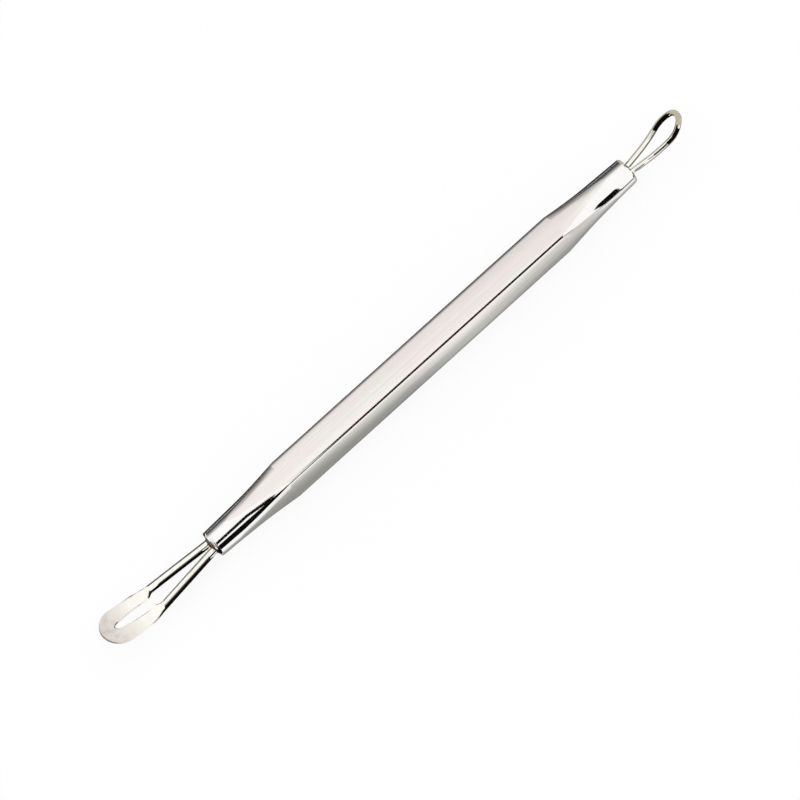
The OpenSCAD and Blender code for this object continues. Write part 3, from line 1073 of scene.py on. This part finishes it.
def make_sky():
    world = bpy.data.worlds.new("white_sky")
    world.use_nodes = True
    bpy.context.scene.world = world
    tree = world.node_tree
    background = tree.nodes["Background"]
    background.inputs["Strength"].default_value = 1.0
    direction = tree.nodes.new("ShaderNodeTexCoord").outputs["Generated"]
    parts = add_node(tree, "ShaderNodeSeparateXYZ", Vector=direction).outputs
    height = calculate(tree, "MULTIPLY_ADD", parts["X"], -SKY_SKEW, parts["Z"])
    behind = remap(tree, parts["Y"], BEHIND_FROM, BEHIND_TO)
    dark_behind = blend_colours(tree, behind, WHITE, grey_ramp(tree, height, SKY_STOPS))
    glossy = tree.nodes.new("ShaderNodeLightPath").outputs["Is Glossy Ray"]
    tree.links.new(blend_colours(tree, glossy, WHITE, dark_behind), background.inputs["Color"])


make_sky()
print("sky: greys from", SKY_STOPS[0][1], "at its foot to", SKY_STOPS[-1][1], "near its top")

# %% [markdown]
# The rest of the drawing is done with cards, as a photographer does it. Each card is a sheet that
# stands or lies near the tool, or is bent over it like a tent, or hangs far away in one direction.
# These helpers give the corners and faces of each kind. A far card is placed by two angles, because
# out there only its direction counts.

# %% Shapes of cards
FAR = 2000
TENT_STEPS = 24


def flat_card(corners):
    """Corners of a flat card, and the one face between them."""
    return corners, [tuple(range(len(corners)))]


def upright(x0, x1, y, z0, z1):
    return flat_card([(x0, y, z0), (x1, y, z0), (x1, y, z1), (x0, y, z1)])


def lying(x0, x1, y0, y1, z):
    return flat_card([(x0, y0, z), (x1, y0, z), (x1, y1, z), (x0, y1, z)])


def toward(side, lean, distance, start_x=0):
    """The place at a distance, side degrees towards +X and lean degrees from upright to the front."""
    side, lean = math.radians(side), math.radians(lean)
    return (start_x + distance * math.sin(side), -distance * math.cos(side) * math.sin(lean),
            AXIS_Z + distance * math.cos(side) * math.cos(lean))


def bent_card(edge_a, edge_b):
    """Corners and faces of a bent card that is stretched between two edges with as many points."""
    count = len(edge_a)
    return edge_a + edge_b, [(i, i + 1, count + i + 1, count + i) for i in range(count - 1)]


def tent(x0, x1, r, lean0, lean1):
    """A round card over the tool from one lean angle to another."""
    leans = [math.radians(lean0 + (lean1 - lean0) * i / TENT_STEPS) for i in range(TENT_STEPS + 1)]
    return bent_card(*[[(x, -r * math.sin(a), AXIS_Z + r * math.cos(a)) for a in leans] for x in (x0, x1)])


# %% [markdown]
# The cards can't be seen by the camera, cast no shadow and light nothing. They only show in the
# steel, each as one shape of one tone, so their material is an emission that needs no light. A
# one-sided card is clear from behind, so that only one of the two legs beside it shows it.

# %% Make a card
def card_finish(name, colour, one_sided):
    """The material of a card, and the node that holds its tone."""
    material, tree, surface = new_surface(name)
    glow = tone(tree, colour)
    shown = glow.outputs["Emission"]
    if one_sided:
        clear = add_node(tree, "ShaderNodeBsdfTransparent", Color=(*WHITE, 1)).outputs["BSDF"]
        from_behind = tree.nodes.new("ShaderNodeNewGeometry").outputs["Backfacing"]
        shown = mix_surfaces(tree, from_behind, shown, clear)
    tree.links.new(shown, surface)
    return material, glow


def make_card(name, colour, shape, one_sided=False):
    corners, faces = shape
    card = add_mesh(name, corners, faces, rounded=False)
    material, glow = card_finish(name, colour, one_sided)
    card.data.materials.append(material)
    card.visible_camera = False
    card.visible_diffuse = False
    card.visible_shadow = False
    card.visible_transmission = False
    return material.node_tree, glow


# %% [markdown]
# Round the bar. A dark card on the floor behind it draws the dark line along its rear edge. Two
# black cards draw the line along its front edge: one stands before the bar, and one hangs over it.
# The first also shows low on the left turned end. A long black card far away, like the boom of a
# lamp stand, draws the stroke above that.

# %% Cards round the bar
BLACK = (0.004, 0.003, 0.003)
DARK = (0.045, 0.043, 0.043)


def hang(cards):
    for name, colour, shape in cards:
        make_card(name, colour, shape)
    print("hung:", ", ".join(name for name, colour, shape in cards))


hang([
    ("card_behind", DARK, lying(-56, 120, 3, 90, 0.05)),
    ("card_front", BLACK, upright(-46, 35, -20, 0.1, 14)),
    ("card_boom", BLACK, flat_card([toward(1, 17, FAR), toward(1, 37, FAR), toward(-9, 73, FAR),
                                    toward(-9, 53, FAR)])),
    ("card_over_bar", BLACK, flat_card([toward(0, 61, 60, -14), toward(0, 61, 60, 41),
                                        toward(0, 8, 60, 41), toward(0, 8, 60, -24)])),
])

# %% [markdown]
# The right turned end shows a grey table before it, one short black dash, and a thin dark line
# close to the end face. The upper part of the dash looks out over the table, and the lower part
# looks down on it. So two cards make the dash: one stands beyond the table, and one lies on it.

# %% Cards before the right end
TABLE = (0.63, 0.62, 0.60)
hang([
    ("card_table", TABLE, lying(30, 41.2, -19.9, -9.6, 0.06)),
    ("card_table_edge", TABLE, lying(36.5, 46.5, -9.7, -7.2, 0.08)),
    ("card_dash", BLACK, flat_card([(40.9, -20, 0.1), (45.4, -20, 0.1), (45.3, -20, 11),
                                    (42.0, -20, 11.8), (40.8, -20, 7)])),
    ("card_dash_foot", BLACK, flat_card([(39.2, -11, 0.09), (43.6, -11, 0.09), (45.4, -19.9, 0.09),
                                         (40.5, -19.9, 0.09)])),
    ("card_line", DARK, lying(42.6, 46.5, -13.4, -9.4, 0.1)),
])

# %% [markdown]
# The flat loop. Black cards before and under its legs draw the dark line down each leg, and a grey
# one above the first softens it. The card between the legs is one-sided, and only the rear leg
# shows it. The spoon has to stay bright, so it lies under a white tent, whose roof reaches over the
# legs, and whose grey end draws the rim of the nose.

# %% Cards at the flat loop
GREY = (0.36, 0.34, 0.32)
SHADE = (0.24, 0.23, 0.22)
hang([
    ("card_before_legs", BLACK, upright(-55.2, -44, -7, 0.1, 6)),
    ("card_above_legs", SHADE, upright(-55.2, -44, -7, 6, 10.2)),
    ("card_under_legs", BLACK, lying(-55.4, -44.2, -19.9, 2.9, 0.06)),
    ("card_tent", WHITE, tent(-71, -55.6, 12, -94, 100)),
    ("card_tent_roof", WHITE, tent(-55.6, -49.5, 12, -53, 20)),
    ("card_tent_end", GREY, flat_card([(-71, -12, 0.1), (-71, 12, 0.1), (-71, 12, 14.5),
                                       (-71, -12, 14.5)])),
])
between_legs = flat_card([(-45.2, 0, 0.1), (-55.2, 0, 0.1), (-55.2, 0, 2.7), (-45.2, 0, 2.95)])
make_card("card_between_legs", BLACK, between_legs, one_sided=True)

# %% [markdown]
# The fine loop. Round wire shows nearly everything about it, squeezed into thin lines. A dark card
# under the loop and khaki ones before and behind it draw those lines and give them their warmth.
# Far out on the left hang a black card and a khaki one behind it. Each has a slanting edge, given
# as pairs of lean and side, and shows as small spots where the wire curls up.

# %% Cards at the fine loop
KHAKI = (0.47, 0.44, 0.36)
FLAG_EDGE = [(-35, -27), (0, -25), (25, -24), (40, -24), (55, -24), (70, -24), (90, -24)]
KHAKI_EDGE = [(-100, -22), (-78, -22), (-56, -22), (-35, -27)]
FLAG_END = -80


def far_card(edge):
    """A bent card far away, from an edge of (lean, side) pairs to FLAG_END."""
    return bent_card([toward(side, lean, FAR) for lean, side in edge],
                     [toward(FLAG_END, lean, FAR) for lean, side in edge])


hang([
    ("card_under_loop", DARK, lying(45, 64, -2.5, 2.9, 0.06)),
    ("card_before_loop", KHAKI, lying(46.6, 60, -12, -2.5, 0.06)),
    ("card_before_nose", BLACK, lying(49.5, 60, -19.9, -5.5, 0.08)),
    ("card_behind_loop", KHAKI, upright(45.2, 64, 6, 0.1, 12)),
    ("card_flag", BLACK, far_card(FLAG_EDGE)),
    ("card_far_khaki", KHAKI, far_card(KHAKI_EDGE)),
])

# %% [markdown]
# Part of each arm of the fine loop is black over its full width, and the nose is the colour of
# straw. A card at a distance can't do that to a round wire, because the wire finds something else
# to show beside it. So these last cards are sleeves, bent round the wire a millimetre from its
# middle.

# %% Sleeves round the fine wire
SLEEVE_R = 1.1
STRAW = (0.54, 0.51, 0.42)


def sleeve(rings, start_x, end_x, leans, in_front):
    """A card held close round one arm of a wire loop, over some of its lean angles."""
    middles = [sum((Vector(p) for p in ring), Vector()) / len(ring) for ring in rings]
    corners = []
    for before, middle, after in zip(middles, middles[1:], middles[2:]):
        if start_x <= middle.x <= end_x and (middle.y < 0) == in_front:
            along = (after - before).normalized()
            up = (Vector((0, 0, 1)) - along * along.z).normalized()
            front = up.cross(along)
            front *= -math.copysign(1, front.y)
            corners += [middle + SLEEVE_R * (up * math.cos(a) + front * math.sin(a))
                        for a in [math.radians(lean) for lean in leans]]
    n = len(leans)
    faces = [(i, i + 1, i + n + 1, i + n) for i in range(len(corners) - n) if (i + 1) % n]
    return corners, faces


hang([
    ("card_front_arm", BLACK, sleeve(fine_rings, 50.6, 53.4, range(-5, 106, 10), True)),
    ("card_back_arm", BLACK, sleeve(fine_rings, 50.9, 53.9, range(-25, 146, 10), False)),
    ("card_nose_front", STRAW, sleeve(fine_rings, 53.7, 60, range(-80, 101, 10), True)),
    ("card_nose_back", STRAW, sleeve(fine_rings, 54.1, 60, range(-80, 101, 10), False)),
])

# %% [markdown]
# One card needs a picture on it. The front flat of the bar shows the strip of floor right before
# it, which is dim near the bar and bright a little further out. So this card lies there, and ramps
# of grey run across it. The left half, the right half and the right shoulder each have a ramp of
# their own, and masks along X lead from one to the next.

# %% The strip of floor before the bar
STRIP_EDGE_Y = -3.75
STRIP_REACH = (-2.2, 1.3)
LEFT_STRIP = [(-2.2, 1.0), (-1.05, 0.93), (-0.8, 0.76), (-0.3, 0.68), (0.0, 0.52), (0.3, 0.45),
              (0.8, 0.36), (1.3, 0.32)]
RIGHT_STRIP = [(-2.2, 1.0), (-1.15, 0.95), (-0.9, 0.84), (-0.56, 0.70), (0.0, 0.62), (0.5, 0.56),
               (0.9, 0.42), (1.3, 0.36)]
SHOULDER_STRIP = [(-2.2, 0.66), (-1.3, 0.68), (-0.5, 0.63), (-0.15, 0.57), (0.05, 0.52), (0.25, 0.44),
                  (0.65, 0.33), (1.3, 0.38)]
LEFT_SKEW = 0.03
RIGHT_SKEW = -0.035
RIGHT_MIDDLE = 16
LEFT_TINT = (0.97, 1.0, 0.98)
STRIP_CHANGE = (-4, 14)
SHOULDER_START = (29.3, 31)
SHOULDER_END = (38.5, 36)
RAMPS = [
    (LEFT_SKEW, 0, LEFT_STRIP, LEFT_TINT),
    (RIGHT_SKEW, RIGHT_MIDDLE, RIGHT_STRIP, WHITE),
    (0, 0, SHOULDER_STRIP, WHITE),
]


def strip_ramp(tree, parts, skew, middle, stops, tint):
    """Greys over the strip's reach, along a line that is skewed about a middle, from stops in mm."""
    first, last = STRIP_REACH
    across = calculate(tree, "MULTIPLY_ADD", parts["X"], -skew, parts["Y"])
    low, high = [(STRIP_EDGE_Y - skew * middle + end) * MM for end in STRIP_REACH]
    shares = [((place - first) / (last - first), grey) for place, grey in stops]
    return grey_ramp(tree, remap(tree, across, low, high), shares, tint)


def make_strip():
    tree, glow = make_card("card_strip", WHITE, lying(-43.9, 46.5, -9.5, -2.45, 0.07))
    place = tree.nodes.new("ShaderNodeTexCoord").outputs["Object"]
    parts = add_node(tree, "ShaderNodeSeparateXYZ", Vector=place).outputs
    left, right, shoulder = [strip_ramp(tree, parts, *ramp) for ramp in RAMPS]
    change, start, end = [remap(tree, parts["X"], x0 * MM, x1 * MM)
                          for x0, x1 in (STRIP_CHANGE, SHOULDER_START, SHOULDER_END)]
    bar_colour = blend_colours(tree, change, left, right)
    at_shoulder = calculate(tree, "MULTIPLY", start, end)
    tree.links.new(blend_colours(tree, at_shoulder, bar_colour, shoulder), glow.inputs["Color"])


make_strip()
print("strip: greys over", STRIP_REACH[1] - STRIP_REACH[0], "mm of floor, in", len(RAMPS), "ramps")

# %% [markdown]
# Last, the pieces are tied to the part. Each of them rides on the part's only body and takes the
# place of its construction node, and the table below also names the slot that its finish belongs
# to. The picture is shown with plain Standard colours.

# %% Ride and replace
for piece, node, slot in [
    (handle, "handle", "handle_steel"),
    (flat_loop, "flat_loop", "flat_loop_steel"),
    (fine_loop, "fine_loop", "fine_loop_steel"),
    (flat_bead, "flat_loop_filler", "braze"),
    (fine_bead, "fine_loop_filler", "braze"),
]:
    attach(piece, "root")
    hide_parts(node)

scene = bpy.context.scene
scene.view_settings.view_transform = "Standard"
